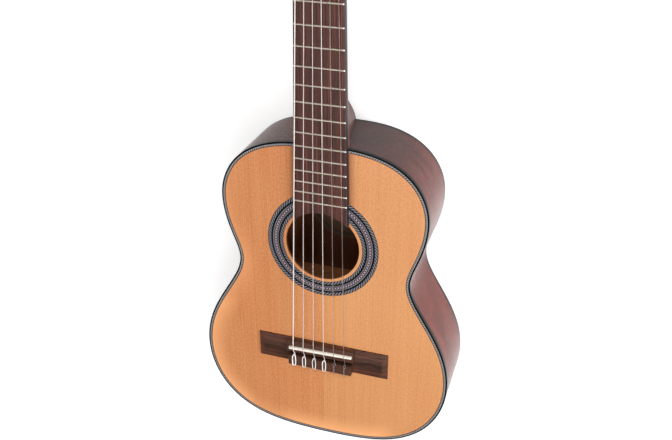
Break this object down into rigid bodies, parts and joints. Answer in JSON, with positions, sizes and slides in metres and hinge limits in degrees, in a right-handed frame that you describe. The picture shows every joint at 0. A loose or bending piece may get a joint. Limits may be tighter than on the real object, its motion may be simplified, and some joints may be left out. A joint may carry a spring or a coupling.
{
  "type": "classical guitar",
  "caption": "Small classical guitar with a waisted hollow body, round sound hole with mosaic rosette, fretted neck, tie bridge and slotted head with worm-geared tuners.",
  "frame": {"origin": "on the outer face of the back, on the centreline, straight under the line of the saddle", "axes": "+X to the treble side, +Y along the neck towards the head, +Z out of the soundboard; the guitar lies on its back"},
  "size_m": [0.2824, 0.7565, 0.0912],
  "materials": {
    "top_wood": "satin lacquered cedar",
    "rosette_mosaic": "lacquered mosaic inlay",
    "body_wood": "satin lacquered mahogany",
    "binding_black": "satin black binding",
    "rope_purfling": "lacquered rope inlay",
    "lining_wood": "bare sanded softwood",
    "inner_wood": "bare sanded mahogany",
    "label_paper": "matt cream paper",
    "neck_wood": "satin lacquered mahogany",
    "dark_wood": "satin rosewood",
    "fingerboard_wood": "oiled rosewood",
    "bridge_wood": "oiled rosewood",
    "fret_metal": "polished nickel silver",
    "bone": "polished bone white",
    "wound_string": "silver-plated winding",
    "nylon_string": "clear nylon",
    "plate_metal": "polished lacquered brass",
    "screw_metal": "plated steel",
    "button_pearl": "ivory pearl plastic",
    "worm_steel": "turned steel",
    "gear_brass": "cut brass",
    "roller_plastic": "ivory nylon"
  },
  "bodies": {
    "guitar": {"soundboard": "top_wood", "rosette": "rosette_mosaic", "back_plate": "body_wood", "rib_bass": "body_wood", "rib_treble": "body_wood", "binding_top": "binding_black", "purfling_top": "rope_purfling", "binding_back": "binding_black", "lining_top": "lining_wood", "lining_back": "lining_wood", "neck_block": "inner_wood", "tail_block": "inner_wood", "fan_braces": "lining_wood", "harmonic_bars": "lining_wood", "back_braces": "lining_wood", "label": "label_paper", "neck": "neck_wood", "heel_cap": "dark_wood", "headstock": "neck_wood", "head_veneer": "dark_wood", "fingerboard": "fingerboard_wood", "frets": "fret_metal", "nut": "bone", "bridge": "bridge_wood", "saddle": "bone", "strings_wound": "wound_string", "strings_nylon": "nylon_string", "tuner_plate_bass": "plate_metal", "tuner_plate_treble": "plate_metal", "plate_screws": "screw_metal"},
    "key_1": {"tuner_button_1": "button_pearl", "worm_shaft_1": "worm_steel"},
    "roller_1": {"roller_1": "roller_plastic", "gear_1": "gear_brass", "gear_screw_1": "screw_metal"},
    "key_2": {"tuner_button_2": "button_pearl", "worm_shaft_2": "worm_steel"},
    "roller_2": {"roller_2": "roller_plastic", "gear_2": "gear_brass", "gear_screw_2": "screw_metal"},
    "key_3": {"tuner_button_3": "button_pearl", "worm_shaft_3": "worm_steel"},
    "roller_3": {"roller_3": "roller_plastic", "gear_3": "gear_brass", "gear_screw_3": "screw_metal"},
    "key_4": {"tuner_button_4": "button_pearl", "worm_shaft_4": "worm_steel"},
    "roller_4": {"roller_4": "roller_plastic", "gear_4": "gear_brass", "gear_screw_4": "screw_metal"},
    "key_5": {"tuner_button_5": "button_pearl", "worm_shaft_5": "worm_steel"},
    "roller_5": {"roller_5": "roller_plastic", "gear_5": "gear_brass", "gear_screw_5": "screw_metal"},
    "key_6": {"tuner_button_6": "button_pearl", "worm_shaft_6": "worm_steel"},
    "roller_6": {"roller_6": "roller_plastic", "gear_6": "gear_brass", "gear_screw_6": "screw_metal"}
  },
  "joints": [
    {"name": "key_1_turn", "type": "hinge", "parent": "guitar", "child": "key_1", "pos_m": [0.0346, 0.52754, 0.05976], "axis": [0, 0.225, 0.9744], "continuous": true},
    {"name": "roller_1_turn", "type": "hinge", "parent": "guitar", "child": "roller_1", "pos_m": [0.025, 0.52018, 0.06146], "axis": [1, 0, 0], "continuous": true},
    {"name": "key_2_turn", "type": "hinge", "parent": "guitar", "child": "key_2", "pos_m": [0.0346, 0.56164, 0.05189], "axis": [0, 0.225, 0.9744], "continuous": true},
    {"name": "roller_2_turn", "type": "hinge", "parent": "guitar", "child": "roller_2", "pos_m": [0.025, 0.55428, 0.05359], "axis": [1, 0, 0], "continuous": true},
    {"name": "key_3_turn", "type": "hinge", "parent": "guitar", "child": "key_3", "pos_m": [0.0346, 0.59574, 0.04402], "axis": [0, 0.225, 0.9744], "continuous": true},
    {"name": "roller_3_turn", "type": "hinge", "parent": "guitar", "child": "roller_3", "pos_m": [0.025, 0.58839, 0.04571], "axis": [1, 0, 0], "continuous": true},
    {"name": "key_4_turn", "type": "hinge", "parent": "guitar", "child": "key_4", "pos_m": [-0.0346, 0.59574, 0.04402], "axis": [0, 0.225, 0.9744], "continuous": true},
    {"name": "roller_4_turn", "type": "hinge", "parent": "guitar", "child": "roller_4", "pos_m": [-0.025, 0.58839, 0.04571], "axis": [1, 0, 0], "continuous": true},
    {"name": "key_5_turn", "type": "hinge", "parent": "guitar", "child": "key_5", "pos_m": [-0.0346, 0.56164, 0.05189], "axis": [0, 0.225, 0.9744], "continuous": true},
    {"name": "roller_5_turn", "type": "hinge", "parent": "guitar", "child": "roller_5", "pos_m": [-0.025, 0.55428, 0.05359], "axis": [1, 0, 0], "continuous": true},
    {"name": "key_6_turn", "type": "hinge", "parent": "guitar", "child": "key_6", "pos_m": [-0.0346, 0.52754, 0.05976], "axis": [0, 0.225, 0.9744], "continuous": true},
    {"name": "roller_6_turn", "type": "hinge", "parent": "guitar", "child": "roller_6", "pos_m": [-0.025, 0.52018, 0.06146], "axis": [1, 0, 0], "continuous": true}
  ],
  "couplings": [
    {"joint": "roller_1_turn", "follows": "key_1_turn", "ratio": -0.071429},
    {"joint": "roller_2_turn", "follows": "key_2_turn", "ratio": -0.071429},
    {"joint": "roller_3_turn", "follows": "key_3_turn", "ratio": -0.071429},
    {"joint": "roller_4_turn", "follows": "key_4_turn", "ratio": 0.071429},
    {"joint": "roller_5_turn", "follows": "key_5_turn", "ratio": 0.071429},
    {"joint": "roller_6_turn", "follows": "key_6_turn", "ratio": 0.071429}
  ]
}
